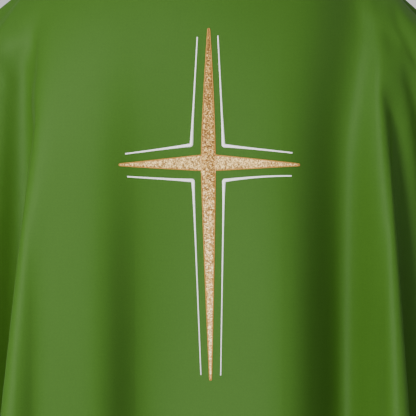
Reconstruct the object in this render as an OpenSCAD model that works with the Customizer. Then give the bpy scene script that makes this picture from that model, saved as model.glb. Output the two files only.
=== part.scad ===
// Chasuble: a wide, sleeveless bell of cloth worn over the shoulders. A front and a back panel are sewn
// together along the shoulders only. The garment is shaped as it hangs from a wearer's shoulders and
// slightly raised arms. Origin: between the two neck points, where the shoulder seams start.
// Front faces -Y, up is +Z, the viewer's right is +X.

/* [Garment] */
// Half of the width from wrist edge to wrist edge
half_span = 640; // [600:5:680]
// How far the wrist ends of the shoulder seams hang below the neck points
wrist_drop = 455; // [400:5:480]
// Drop from the neck points to the lowest point of the front hem
front_length = 1140; // [1080:10:1200]
// Drop from the neck points to the lowest point of the back hem
back_length = 1140; // [1080:10:1200]
// How far the front stands out before the shoulder seams
chest_depth = 155; // [140:1:165]
// How far the back stands out behind the shoulder seams
back_depth = 165; // [150:1:175]
// How far each side of a wing stands out from the seam plane
wing_depth = 60; // [50:1:70]
// Thickness of the cloth, with its drape
cloth_t = 1; // [0.8:0.1:1.4]

/* [Neck] */
// Half of the neckline's width, from neck point to neck point
neck_half = 108; // [98:1:115]
// Drop of the neckline at the centre front
neck_drop_front = 48; // [40:1:60]
// Drop of the neckline at the centre back
neck_drop_back = 4; // [3:1:12]
// Reach of the neckline to the front
neck_reach_front = 100; // [88:1:106]
// Reach of the neckline to the back
neck_reach_back = 58; // [50:1:64]
// Height of the stand collar
collar_h = 34; // [26:1:40]
// Thickness of the padded collar roll
collar_t = 6; // [5:0.5:8]
// Width of the facing inside the neckline
facing_w = 45; // [35:1:55]

/* [Hem and seams] */
// Width of the turned-up hem
hem_w = 16; // [12:1:20]
// Width of each shoulder seam allowance
allowance_w = 12; // [9:1:14]

/* [Embroidery] */
// Height of the cross
cross_h = 518; // [460:2:528]
// Width of the cross
cross_w = 265; // [250:1:272]
// How much longer the right arm is than the left arm
arm_extra = 3; // [0:0.5:5]
// Drop from the neck points to the top of the cross
cross_top = 160; // [150:1:180]
// Share of the cross that is above its crossing
crossing_share = 0.384; // [0.35:0.002:0.42]
// Widest half width of the upright spar
spar_half = 11; // [8:0.1:13]
// Widest half height of the cross arms
arm_half = 12.7; // [9:0.1:14]
// Half width of the spars and arms at their tips
tip_half = 2.1; // [1.4:0.1:2.6]
// Width of the satin edge round the gold parts
edge_w = 1.4; // [1:0.1:2]
// Widest half width of a silver line, at its corner
line_half = 2.9; // [2:0.1:3.6]
// Half width of a silver line at its ends
line_tip_half = 1; // [0.8:0.1:1.4]
// Sideways lean of the upright above the crossing, as a slope
lean_up = 0.003; // [0:0.001:0.01]
// Sideways lean of the upright below the crossing, as a slope
lean_down = 0.011; // [0:0.001:0.02]
// How far the arms' roots lie above the crossing
arm_lift = 2.3; // [0:0.1:4]
// How far the arm tips droop below their roots
arm_droop = 3.4; // [0:0.1:5]
// Height of the gold embroidery above the cloth
gold_t = 1.2; // [0.8:0.1:1.6]
// Height of the silver satin lines above the cloth
silver_t = 1.6; // [1:0.1:2]

/* [Hidden] */

FRONT = -1;
BACK = 1;
cloth_green = [0.2, 0.38, 0.11];
facing_green = [0.17, 0.33, 0.1];
thread_green = [0.22, 0.42, 0.14];
gold = [0.72, 0.58, 0.36];
edge_gold = [0.76, 0.52, 0.3];
silver = [0.8, 0.8, 0.85];
white = [0.93, 0.93, 0.9];

// Grid of the two panels: cells across each half, and cells down
neck_cells = 6;
body_cells = 12;
wing_cells = 10;
half_cells = neck_cells + body_cells + wing_cells;
cells_down = 28;
body_edge = 290; // the columns are close together as far out as this
row_crowding = 1.5; // rows lie closer together near the shoulder seams
function half_column(k) =
    k <= neck_cells ? neck_half * sin(90 * k / neck_cells)
    : k <= neck_cells + body_cells ? neck_half + (body_edge - neck_half) * (k - neck_cells) / body_cells
    : body_edge + (half_span - body_edge) * sin(90 * (k - neck_cells - body_cells) / wing_cells);
function column_x(k) = sign(k) * half_column(abs(k));

// Shoulder line: level beside the neck, then down over the arms
shoulder_x = 185;
shoulder_soft = 30;
function bend(x) = shoulder_soft * ln(1 + exp((abs(x) - shoulder_x) / shoulder_soft));
seam_slope = wrist_drop / (bend(half_span) - bend(neck_half));
function seam_z(x) = -seam_slope * (bend(x) - bend(neck_half));

// Hem: one superellipse quarter from each wrist edge to the lowest point
hem_half = half_span + 10;
hem_round = 1.6;
function hem_share(x) = pow(1 - pow(abs(x) / hem_half, hem_round), 1 / hem_round);
function hem_z(side, x) =
    -wrist_drop - ((side == FRONT ? front_length : back_length) - wrist_drop) * hem_share(x);

// Neckline: an oval in plan that drops more to the front
function neck_cos(x) = sqrt(max(0, 1 - pow(x / neck_half, 2)));
function neck_z(side, x) = -(side == FRONT ? neck_drop_front : neck_drop_back) * pow(neck_cos(x), 1.5);
function neck_y(side, x) = (side == FRONT ? -neck_reach_front : neck_reach_back) * neck_cos(x);
function top_z(side, x) = abs(x) < neck_half ? neck_z(side, x) : seam_z(x);

// Depth of the hanging cloth from the seam plane: a plateau over the chest or back, shallow wings, and one
// deep fold beside the plateau on each side
plateau_x = 160;
plateau_soft = 9;
chest_rise = 80;
wing_rise = 35;
fold_x = 195;
fold_half = 26;
fold_depth_left = 18;
fold_depth_right = 28;
fold_start = 60;
fold_growth = 400;
neck_blend = 50;
function plateau(x) = 1 / (1 + exp((abs(x) - plateau_x) / plateau_soft));
function rise(d, far, near, power) = far * (1 - exp(-pow(max(0, d) / near, power)));
function ramp(a) = let (b = min(1, max(0, a))) b * b * (3 - 2 * b);
function fold(x, d) =
    (x < 0 ? fold_depth_left : fold_depth_right) * exp(-pow((abs(x) - fold_x) / fold_half, 2))
    * ramp((d - fold_start) / fold_growth);
function hang(side, x, d) =
    plateau(x) * rise(d, side == FRONT ? chest_depth : back_depth, chest_rise, 1.2)
    + (1 - plateau(x)) * rise(d, wing_depth, wing_rise, 1) - fold(x, d);
function neck_fit(side, x, z) =
    abs(x) < neck_half
        ? (abs(neck_y(side, x)) - hang(side, x, seam_z(x) - neck_z(side, x)))
            * exp(-pow((neck_z(side, x) - z) / neck_blend, 2))
        : 0;
function depth(side, x, z) = hang(side, x, seam_z(x) - z) + neck_fit(side, x, z);

// A point of the hanging cloth, moved off it by a distance: positive is outwards
probe = 0.5;
function outward(side, x, z) =
    let (
        dx = (depth(side, x + probe, z) - depth(side, x - probe, z)) / (2 * probe),
        dz = (depth(side, x, z + probe) - depth(side, x, z - probe)) / (2 * probe),
        n = [-dx, side, -dz]
    ) n / norm(n);
function on_cloth(side, x, z, off) =
    [x, side * depth(side, x, z), z] + off * outward(side, x, z);

// A closed solid between two layers of grid points, each a list of rows of the same length
function flat_list(rows) = [for (row = rows) for (p = row) p];
module slab(outer, inner, flip) {
    rows = len(outer);
    cols = len(outer[0]);
    count = rows * cols;
    function at(r, c, layer) = layer * count + r * cols + c;
    function quad(a, b, c, d) = flip ? [[a, b, c], [a, c, d]] : [[c, b, a], [d, c, a]];
    faces = concat(
        [for (r = [0 : rows - 2]) for (c = [0 : cols - 2])
            each quad(at(r, c, 0), at(r, c + 1, 0), at(r + 1, c + 1, 0), at(r + 1, c, 0))],
        [for (r = [0 : rows - 2]) for (c = [0 : cols - 2])
            each quad(at(r + 1, c, 1), at(r + 1, c + 1, 1), at(r, c + 1, 1), at(r, c, 1))],
        [for (c = [0 : cols - 2]) each quad(at(0, c, 1), at(0, c + 1, 1), at(0, c + 1, 0), at(0, c, 0))],
        [for (c = [0 : cols - 2])
            each quad(at(rows - 1, c, 0), at(rows - 1, c + 1, 0), at(rows - 1, c + 1, 1), at(rows - 1, c, 1))],
        [for (r = [0 : rows - 2]) each quad(at(r, 0, 0), at(r + 1, 0, 0), at(r + 1, 0, 1), at(r, 0, 1))],
        [for (r = [0 : rows - 2])
            each quad(at(r, cols - 1, 1), at(r + 1, cols - 1, 1), at(r + 1, cols - 1, 0), at(r, cols - 1, 0))]
    );
    polyhedron(concat(flat_list(outer), flat_list(inner)), faces, convexity = 10);
}

// A strip of the cloth's surface: flat points [x, z] in rows, between two distances from the cloth
module patch(side, rows, low, high) {
    slab(
        [for (row = rows) [for (p = row) on_cloth(side, p[0], p[1], high)]],
        [for (row = rows) [for (p = row) on_cloth(side, p[0], p[1], low)]],
        side == FRONT
    );
}

// ---- Panels ----
function row_z(side, x, j) =
    top_z(side, x) + (hem_z(side, x) - top_z(side, x)) * pow(j / cells_down, row_crowding);
// Along the shoulder seam the cloth's thickness is upright, so that both panels meet face to face
function under_cloth(side, x, z, on_seam) =
    on_seam ? [x, 0, z - cloth_t] : on_cloth(side, x, z, -cloth_t);
module panel(side) {
    xs = [for (k = [-half_cells : half_cells]) column_x(k)];
    slab(
        [for (j = [0 : cells_down]) [for (x = xs) on_cloth(side, x, row_z(side, x, j), 0)]],
        [for (j = [0 : cells_down]) [for (x = xs)
            under_cloth(side, x, row_z(side, x, j), j == 0 && abs(x) >= neck_half)]],
        side == FRONT
    );
}
module front_panel() {
    color(cloth_green) panel(FRONT);
}
module back_panel() {
    color(cloth_green) panel(BACK);
}

// ---- Hem ----
inner_gap = 1.2; // clearance between the panel and the layers sewn inside it
layer_t = 0.6; // thickness of a sewn layer
thread_w = 1;
thread_t = 0.5;
surface_gap = 0.3; // clearance between the panel and what is sewn on its outer face
slope_probe = 4;
function hem_slope(side, x) =
    abs(hem_z(side, x + slope_probe) - hem_z(side, x - slope_probe)) / (2 * slope_probe);
function hem_stretch(side, x) = min(2.5, sqrt(1 + pow(hem_slope(side, x), 2)));
last_strip_column = half_cells - 1;
function hem_row(side, up) =
    [for (k = [-last_strip_column : last_strip_column]) let (x = column_x(k))
        [x, hem_z(side, x) + up * hem_stretch(side, x)]];
module hem_turnup(side) {
    patch(side, [hem_row(side, hem_w), hem_row(side, 1)], -cloth_t - inner_gap - layer_t, -cloth_t - inner_gap);
}
module hem_stitching(side) {
    patch(side, [hem_row(side, hem_w - 2 + thread_w), hem_row(side, hem_w - 2)],
        surface_gap, surface_gap + thread_t);
}
module front_hem_turnup() {
    color(facing_green) hem_turnup(FRONT);
}
module back_hem_turnup() {
    color(facing_green) hem_turnup(BACK);
}
module front_hem_stitching() {
    color(thread_green) hem_stitching(FRONT);
}
module back_hem_stitching() {
    color(thread_green) hem_stitching(BACK);
}

// ---- Shoulder seams: allowances pressed open inside, one strip on each panel ----
allowance_first = neck_cells + 3; // first column, outside the neck facings
seam_clear = 4; // how far the strips stay below the seam line
function allowance_row(hand, down) =
    [for (k = hand < 0 ? [-last_strip_column : -allowance_first] : [allowance_first : last_strip_column])
        [column_x(k), seam_z(column_x(k)) - down]];
module shoulder_seam_allowance(hand) {
    for (side = [FRONT, BACK])
        patch(side, [allowance_row(hand, seam_clear), allowance_row(hand, seam_clear + allowance_w)],
            -cloth_t - inner_gap - layer_t, -cloth_t - inner_gap);
}
module shoulder_seam_allowance_left() {
    color(facing_green) shoulder_seam_allowance(-1);
}
module shoulder_seam_allowance_right() {
    color(facing_green) shoulder_seam_allowance(1);
}

// ---- Neck ----
ring_steps = 72;
collar_lean = 12; // degrees that the collar leans in towards the neck
collar_wall = 1.2;
collar_seat = 0.4; // the collar starts this far above the panels' edge
function neck_side(a) = cos(a) > 0 ? FRONT : BACK;
function neck_point(a) =
    let (x = neck_half * sin(a), side = neck_side(a)) [x, neck_y(side, x), neck_z(side, x)];
function plan_out(a) =
    let (
        b = cos(a) > 0 ? neck_reach_front : neck_reach_back,
        n = [b * sin(a), -neck_half * cos(a), 0]
    ) n / norm(n);
// A point of the collar's section: across is outwards from the neckline, up is along the leaning stand
function collar_point(a, across, up) =
    neck_point(a) + plan_out(a) * (across * cos(collar_lean) - up * sin(collar_lean))
    + [0, 0, collar_seat + up * cos(collar_lean) + across * sin(collar_lean)];
module ring(section) {
    n = len(section);
    points = [for (k = [0 : ring_steps - 1]) for (p = section)
        collar_point(k * 360 / ring_steps, p[0], p[1])];
    faces = [for (k = [0 : ring_steps - 1]) for (i = [0 : n - 1])
        let (
            k2 = (k + 1) % ring_steps,
            i2 = (i + 1) % n,
            a = k * n + i,
            b = k * n + i2,
            c = k2 * n + i2,
            d = k2 * n + i
        ) each [[a, b, c], [a, c, d]]];
    polyhedron(points, faces, convexity = 10);
}
roll_r = collar_t / 2;
roll_steps = 4;
// The collar is one strip folded over: open at the seam, round at the top
collar_section = concat(
    [[roll_r, 0]],
    [for (k = [0 : roll_steps]) let (b = 180 * k / roll_steps)
        [roll_r * cos(b), collar_h - roll_r + roll_r * sin(b)]],
    [[-roll_r, 0], [-roll_r + collar_wall, 0]],
    [for (k = [roll_steps : -1 : 0]) let (b = 180 * k / roll_steps)
        [(roll_r - collar_wall) * cos(b), collar_h - roll_r + (roll_r - collar_wall) * sin(b)]],
    [[roll_r - collar_wall, 0]]
);
lining_half = roll_r - collar_wall - 0.3;
lining_low = 1;
lining_high = collar_h - roll_r - 0.5;
module collar() {
    color(cloth_green) ring(collar_section);
}
module collar_interlining() {
    color(white) ring([
        [lining_half, lining_low], [lining_half, lining_high],
        [-lining_half, lining_high], [-lining_half, lining_low]
    ]);
}

facing_last = neck_cells + 2; // last column under the facing
facing_rows = 4;
facing_start = 7; // how far the facing's upper edge stays below the neckline
module neck_facing(side) {
    patch(side,
        [for (j = [0 : facing_rows]) [for (k = [-facing_last : facing_last]) let (x = column_x(k))
            [x, top_z(side, x) - facing_start - (facing_w - facing_start) * j / facing_rows]]],
        -cloth_t - inner_gap - layer_t, -cloth_t - inner_gap);
}
module neck_facing_front() {
    color(facing_green) neck_facing(FRONT);
}
module neck_facing_back() {
    color(facing_green) neck_facing(BACK);
}

// One row of stitches round the collar, just above the seam
stitch_up = 4;
module neck_stitching() {
    color(thread_green) ring([
        [roll_r + 0.3, stitch_up], [roll_r + 0.3 + thread_t, stitch_up],
        [roll_r + 0.3 + thread_t, stitch_up + thread_w], [roll_r + 0.3, stitch_up + thread_w]
    ]);
}

// ---- Embroidery: flat shapes [x, z] about the crossing, laid on the front panel ----
above = cross_h * crossing_share;
below = cross_h - above;
arm_len = (cross_w - arm_extra) / 2; // of the left arm
function arm_reach(hand) = hand < 0 ? arm_len : arm_len + arm_extra;
crossing_z = -cross_top - above;
part_gap = 0.3; // clearance between neighbouring areas of stitches
function laid(p) = [p[0] + (p[1] > 0 ? lean_up : -lean_down) * p[1], crossing_z + p[1]];
function taper(s, power, widest, tip) = tip + (widest - tip) * (1 - pow(s, power));
upper_power = 1.5;
lower_power = 1.25;
arm_power = 1.05;
function spar_width(z) =
    z > 0 ? taper(z / above, upper_power, spar_half, tip_half)
          : taper(-z / below, lower_power, spar_half, tip_half);
function arm_width(x) = taper(abs(x) / arm_reach(x), arm_power, arm_half, tip_half);
function arm_middle(x) = arm_lift - arm_droop * abs(x) / arm_reach(x);

spar_cells = 44;
area_cells = 4;
arm_cells = 14;
function spar_z(i) = above - cross_h * i / spar_cells;
function inside_edge(w) = w - edge_w - part_gap;
module sewn(rows, low, high) {
    patch(FRONT, [for (row = rows) [for (p = row) laid(p)]], low, high);
}
module gold_upright() {
    color(gold) sewn(
        [for (i = [1 : spar_cells - 1]) let (z = spar_z(i), w = max(0.35, inside_edge(spar_width(z))))
            [for (k = [0 : area_cells]) [w * (2 * k / area_cells - 1), z]]],
        surface_gap, surface_gap + gold_t);
}
module gold_upright_edge() {
    color(edge_gold) for (hand = [-1, 1])
        sewn(
            [for (i = [0 : spar_cells]) let (z = spar_z(i), w = spar_width(z), near = max(part_gap / 2, w - edge_w))
                hand < 0 ? [[-w, z], [-near, z]] : [[near, z], [w, z]]],
            surface_gap, surface_gap + gold_t);
}
arm_root = spar_half + part_gap;
function arm_x(hand, i, from, to) = hand * (from + (to - from) * i / arm_cells);
function across(hand, n, i) = hand < 0 ? n - i : i;
module gold_arm(hand) {
    color(gold) sewn(
        [for (k = [0 : area_cells]) [for (i = [0 : arm_cells])
            let (x = arm_x(hand, across(hand, arm_cells, i), arm_root, arm_reach(hand) - 3))
                [x, arm_middle(x) + inside_edge(arm_width(x)) * (1 - 2 * k / area_cells)]]],
        surface_gap, surface_gap + gold_t);
}
module gold_arm_edge(hand) {
    color(edge_gold) for (level = [-1, 1])
        sewn(
            [for (k = [0, 1]) [for (i = [0 : arm_cells])
                let (
                    x = arm_x(hand, across(hand, arm_cells, i), arm_root, arm_reach(hand)),
                    w = arm_width(x),
                    near = max(part_gap / 2, w - edge_w)
                ) [x, arm_middle(x) + (level > 0 ? (k == 0 ? w : near) : (k == 0 ? -near : -w))]]],
            surface_gap, surface_gap + gold_t);
}
module gold_arm_left() {
    gold_arm(-1);
}
module gold_arm_right() {
    gold_arm(1);
}
module gold_arm_edge_left() {
    gold_arm_edge(-1);
}
module gold_arm_edge_right() {
    gold_arm_edge(1);
}

// Silver lines: an elbow in each quarter, widest at its corner
line_corner_x = 25; // the furthest corner from the upright's middle line
upper_corner_z = 28;
lower_corner_z = -24;
line_top = above - 10;
line_bottom = -below + 8;
line_cells = 12;
function line_leg(corner, end, s) = corner + (end - corner) * s;
function line_width(s) = line_half + (line_tip_half - line_half) * s;
// Points on the two sides of an elbow, from the end of its upright leg to the end of its level leg
module silver_line(hand, corner, tall, wide) {
    tall_dir = (corner - tall) / norm(corner - tall);
    wide_dir = (wide - corner) / norm(wide - corner);
    tall_n = [-tall_dir[1], tall_dir[0]];
    wide_n = [-wide_dir[1], wide_dir[0]];
    mitre = (tall_n + wide_n) / (1 + tall_n * wide_n);
    stations = concat(
        [for (i = [0 : line_cells - 1]) let (s = 1 - i / line_cells)
            [line_leg(corner, tall, s), tall_n * line_width(s)]],
        [for (i = [0 : line_cells]) let (s = i / line_cells)
            i == 0 ? [corner, mitre * line_half] : [line_leg(corner, wide, s), wide_n * line_width(s)]]
    );
    color(silver) sewn(
        [for (st = stations) let (a = st[0] - st[1], b = st[0] + st[1])
            hand > 0 ? [[hand * a[0], a[1]], [hand * b[0], b[1]]] : [[hand * b[0], b[1]], [hand * a[0], a[1]]]],
        surface_gap, surface_gap + silver_t);
}
module silver_line_upper_left() {
    silver_line(-1, [24.9, upper_corner_z], [16.7, line_top], [arm_len - 9.3, 15]);
}
module silver_line_upper_right() {
    silver_line(1, [22.1, upper_corner_z - 1], [13.4, line_top], [arm_len - 8.1, 16.4]);
}
module silver_line_lower_left() {
    silver_line(-1, [22.6, lower_corner_z], [14.3, line_bottom], [arm_len - 12, -18.3]);
}
module silver_line_lower_right() {
    silver_line(1, [22.5, lower_corner_z], [14.9, line_bottom], [arm_len - 9.4, -17.3]);
}

// Stabiliser left behind the embroidery: a cross of non-woven backing inside the front panel
backing_margin = 8;
backing_cells = 16;
module backing_strip(x_low, x_high, z_low, z_high, cols, rows) {
    patch(FRONT,
        [for (j = [0 : rows]) [for (i = [0 : cols])
            [x_low + (x_high - x_low) * i / cols, z_high + (z_low - z_high) * j / rows]]],
        -cloth_t - inner_gap - layer_t, -cloth_t - inner_gap);
}
backing_x = line_corner_x + backing_margin;
backing_arm_top = crossing_z + upper_corner_z + backing_margin;
backing_arm_low = crossing_z + lower_corner_z - backing_margin;
module embroidery_backing() {
    color(white) {
        backing_strip(-backing_x, backing_x, backing_arm_top + part_gap, -cross_top + backing_margin, 4, 10);
        backing_strip(-arm_len - 4, arm_len + 4, backing_arm_low, backing_arm_top, backing_cells, 4);
        backing_strip(-backing_x, backing_x, -cross_top - cross_h - backing_margin,
            backing_arm_low - part_gap, 4, 12);
    }
}

// ---- Small pieces inside the back neck ----
back_inner = -cloth_t - 2 * inner_gap - layer_t; // on the facing's inner face
loop_half = 30;
loop_w = 6;
loop_top = 22; // below the neckline
loop_sag = 16;
loop_cells = 12;
loop_t = 0.8;
module hanging_loop() {
    color(facing_green) patch(BACK,
        [for (k = [0, 1]) [for (i = [0 : loop_cells])
            let (a = 2 * i / loop_cells - 1)
                [loop_half * a, -neck_drop_back - loop_top - loop_sag * (1 - a * a) - k * loop_w]]],
        back_inner - loop_t, back_inner);
}
label_w = 30;
label_h = 42;
label_x = 52;
label_top = 52; // below the neckline, clear of the facing
label_t = 0.4;
module care_label() {
    color(white) patch(BACK,
        [for (j = [0 : 3]) [for (i = [0 : 3])
            [label_x + label_w * i / 3, -neck_drop_back - label_top - label_h * j / 3]]],
        -cloth_t - inner_gap - label_t, -cloth_t - inner_gap);
}

front_panel();
back_panel();
front_hem_turnup();
back_hem_turnup();
front_hem_stitching();
back_hem_stitching();
shoulder_seam_allowance_left();
shoulder_seam_allowance_right();
collar();
collar_interlining();
neck_facing_front();
neck_facing_back();
neck_stitching();
gold_upright();
gold_upright_edge();
gold_arm_left();
gold_arm_edge_left();
gold_arm_right();
gold_arm_edge_right();
silver_line_upper_left();
silver_line_upper_right();
silver_line_lower_left();
silver_line_lower_right();
embroidery_backing();
hanging_loop();
care_label();
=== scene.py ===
"""A chasuble: green cloth with an embroidered cross, draped over an invisible wearer."""

import math

import bmesh
import bpy
import numpy as np
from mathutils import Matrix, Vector


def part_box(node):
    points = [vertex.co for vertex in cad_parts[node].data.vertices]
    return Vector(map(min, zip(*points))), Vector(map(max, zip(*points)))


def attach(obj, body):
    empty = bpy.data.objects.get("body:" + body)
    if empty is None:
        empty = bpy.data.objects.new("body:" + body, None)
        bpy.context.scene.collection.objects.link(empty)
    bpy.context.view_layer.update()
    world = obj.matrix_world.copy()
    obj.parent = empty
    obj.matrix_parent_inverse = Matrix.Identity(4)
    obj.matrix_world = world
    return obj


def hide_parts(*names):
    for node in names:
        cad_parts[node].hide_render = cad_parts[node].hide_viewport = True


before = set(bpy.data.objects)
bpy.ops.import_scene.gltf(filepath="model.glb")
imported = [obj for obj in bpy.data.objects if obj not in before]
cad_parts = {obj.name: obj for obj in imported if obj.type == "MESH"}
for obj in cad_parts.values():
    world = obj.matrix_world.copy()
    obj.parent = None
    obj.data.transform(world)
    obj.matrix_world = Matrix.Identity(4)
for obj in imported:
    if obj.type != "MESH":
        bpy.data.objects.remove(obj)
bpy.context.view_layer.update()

FRONT, BACK = -1, 1
SIDES = {"front": FRONT, "back": BACK}
HANDS = {"left": -1, "right": 1}

# The flat cut of one panel, in metres: across from the middle, and down the cloth from the shoulder seam
HALF_WIDTH = 0.75
CUT_LENGTH = 1.22
WRIST_EDGE = 0.02
SEAM_SLOPE, SEAM_ROUND = 0.36, 0.05
HEM_ACROSS, HEM_DOWN = 2.4, 1.9
NECK_HALF = 0.108
NECK_DEPTH = {FRONT: 0.130, BACK: 0.065}
NECK_ACROSS, NECK_DOWN = 2.2, 0.6

# Thicknesses and small sizes
CLOTH = 0.0007
LAYER = 0.0005
LAYER_GAP = 0.0003
HEM_WIDTH = 0.016
ALLOWANCE = 0.012
FACING = 0.045
COLLAR_HEIGHT = 0.034

# The motif, in millimetres from its crossing: across and up, as seen from the front
ABOVE, BELOW = 198.9, 319.1  # reach of the upright
ARM = {-1: 131, 1: 134}  # reach of each arm
SPAR_HALF, ARM_HALF, TIP_HALF = 11.0, 12.7, 2.1
EDGE = 1.5  # width of the satin edges
EDGE_RISE, EDGE_PITCH = 0.0012, 1.1  # their height in metres, and the distance between their threads
ARM_LIFT, ARM_DROOP = 2.3, 3.4  # height of an arm's root, and its drop towards the tip
LEAN_UP, LEAN_DOWN = 0.003, 0.011  # shift to the right for each millimetre above and below the crossing
CORNER_RADIUS = 2.0  # rounding of the silver lines
# Each silver line: its upright end, its corner, its outer end and how far the outer part bows upwards
SILVER_LINES = {
    "silver_line_upper_left": ((-16.7, 186), (-24.9, 28), (-121.7, 15), 0),
    "silver_line_upper_right": ((13.4, 188), (22.1, 27), (122.9, 16.4), 0),
    "silver_line_lower_left": ((-14.3, -311), (-22.6, -24), (-119, -18.3), 0),
    "silver_line_lower_right": ((14.9, -311), (22.5, -24), (121.6, -17.3), 1.6),
}


# ---- camera and light
arm_low, arm_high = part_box("gold_arm_left")
CROSSING = Vector((0, arm_low.y, (arm_low.z + arm_high.z - 2 * ARM_LIFT / 1000) / 2))
VIEW_WIDTH = 0.603  # width of the view at the crossing
CAMERA_DISTANCE = 3.0
CENTRE_SHIFT = -0.0005  # the picture's middle beside the crossing
CENTRE_DROP = 0.0643  # and below it
# Each light: its place, the point it aims at, its size, power and colour
LIGHTS = {
    "key": ((-1.9, -3.1, 0.15), (0, 0, -0.4), 1.3, 196, (1, 0.985, 0.95)),
    "fill": ((2.6, -2.4, 0.0), (0, 0, -0.5), 2.2, 12, (0.95, 0.97, 1)),
    "rear": ((-0.3, 3.2, -0.7), (0, 0, -0.5), 2.2, 105, (1, 1, 1)),
}
# Colour of the studio round the object: at the horizon and below, halfway up, and overhead
WORLD_COLOURS = [(0.0, (0.8924, 0.9062, 0.92)), (0.5, (0.3007, 0.30535, 0.31)), (1.0, (1, 1, 1))]


def add_camera():
    data = bpy.data.cameras.new("camera")
    data.sensor_width = 36
    data.lens = data.sensor_width * CAMERA_DISTANCE / VIEW_WIDTH
    camera = bpy.data.objects.new("camera", data)
    bpy.context.collection.objects.link(camera)
    camera.location = CROSSING + Vector((CENTRE_SHIFT, -CAMERA_DISTANCE, -CENTRE_DROP))
    camera.rotation_euler = (math.pi / 2, 0, 0)
    bpy.context.scene.camera = camera


def add_area(name, place, aim, size, power, colour):
    data = bpy.data.lights.new(name, "AREA")
    data.shape = "DISK"
    data.size = size
    data.energy = power
    data.color = colour
    light = bpy.data.objects.new(name, data)
    bpy.context.collection.objects.link(light)
    light.location = place
    light.rotation_euler = (Vector(place) - Vector(aim)).to_track_quat("Z", "Y").to_euler()


def add_lights():
    for name, values in LIGHTS.items():
        add_area(name, *values)
    world = bpy.data.worlds.new("studio")
    world.use_nodes = True
    tree = world.node_tree
    direction = tree.nodes.new("ShaderNodeTexCoord").outputs["Generated"]
    split = tree.nodes.new("ShaderNodeSeparateXYZ")
    tree.links.new(direction, split.inputs[0])
    ramp = tree.nodes.new("ShaderNodeValToRGB")
    tree.links.new(split.outputs["Z"], ramp.inputs["Fac"])
    ramp.color_ramp.elements.new(0.5)
    for element, (place, colour) in zip(ramp.color_ramp.elements, WORLD_COLOURS):
        element.position = place
        element.color = (*colour, 1)
    tree.links.new(ramp.outputs["Color"], tree.nodes["Background"].inputs["Color"])
    bpy.context.scene.world = world


# ---- materials
THREAD_PITCH = 0.0011  # of the cloth's weave


class Nodes:
    """A material and short calls that add its nodes."""

    def __init__(self, name):
        self.material = bpy.data.materials.new(name)
        self.material.use_nodes = True
        self.tree = self.material.node_tree
        self.shader = self.tree.nodes["Principled BSDF"]

    def add(self, kind, values=(), **settings):
        node = self.tree.nodes.new(kind)
        for key, value in settings.items():
            setattr(node, key, value)
        for key, value in dict(values).items():
            if isinstance(value, bpy.types.NodeSocket):
                self.tree.links.new(value, node.inputs[key])
            else:
                node.inputs[key].default_value = value
        return node

    def math(self, operation, a, b=0.0):
        return self.add("ShaderNodeMath", {0: a, 1: b}, operation=operation).outputs[0]

    def flat(self):
        return self.add("ShaderNodeUVMap", uv_map="flat").outputs["UV"]

    def flat_y(self):
        return self.add("ShaderNodeSeparateXYZ", {"Vector": self.flat()}).outputs["Y"]

    def uv(self, scale_x, scale_y):
        values = {"Vector": self.flat(), "Scale": (scale_x, scale_y, 1)}
        return self.add("ShaderNodeMapping", values).outputs["Vector"]

    def noise(self, vector, scale=1.0, detail=2.0, rough=0.5):
        values = {"Vector": vector, "Scale": scale, "Detail": detail, "Roughness": rough}
        return self.add("ShaderNodeTexNoise", values).outputs["Fac"]

    def wave(self, vector, direction):
        """One thread for each unit of the vector."""
        values = {"Vector": vector, "Scale": 1 / math.pi, "Distortion": 0.0}
        node = self.add("ShaderNodeTexWave", values, wave_type="BANDS", bands_direction=direction)
        return node.outputs["Fac"]

    def ramp(self, factor, stops):
        node = self.add("ShaderNodeValToRGB", {"Fac": factor})
        elements = node.color_ramp.elements
        while len(elements) < len(stops):
            elements.new(0.5)
        for element, (place, colour) in zip(elements, stops):
            element.position = place
            element.color = (*colour, 1)
        return node.outputs["Color"]

    def spread(self, factor, low, high):
        values = {"Value": factor, "From Min": 0.0, "From Max": 1.0, "To Min": low, "To Max": high}
        return self.add("ShaderNodeMapRange", values).outputs["Result"]

    def bump(self, height, distance, strength, normal=None):
        values = {"Height": height, "Distance": distance, "Strength": strength}
        if normal is not None:
            values["Normal"] = normal
        return self.add("ShaderNodeBump", values).outputs["Normal"]

    def finish(self, colour, roughness, normal, **constants):
        for socket, value in (("Base Color", colour), ("Roughness", roughness), ("Normal", normal)):
            self.tree.links.new(value, self.shader.inputs[socket])
        for key, value in constants.items():
            self.shader.inputs[key.replace("_", " ")].default_value = value
        return self.material


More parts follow.
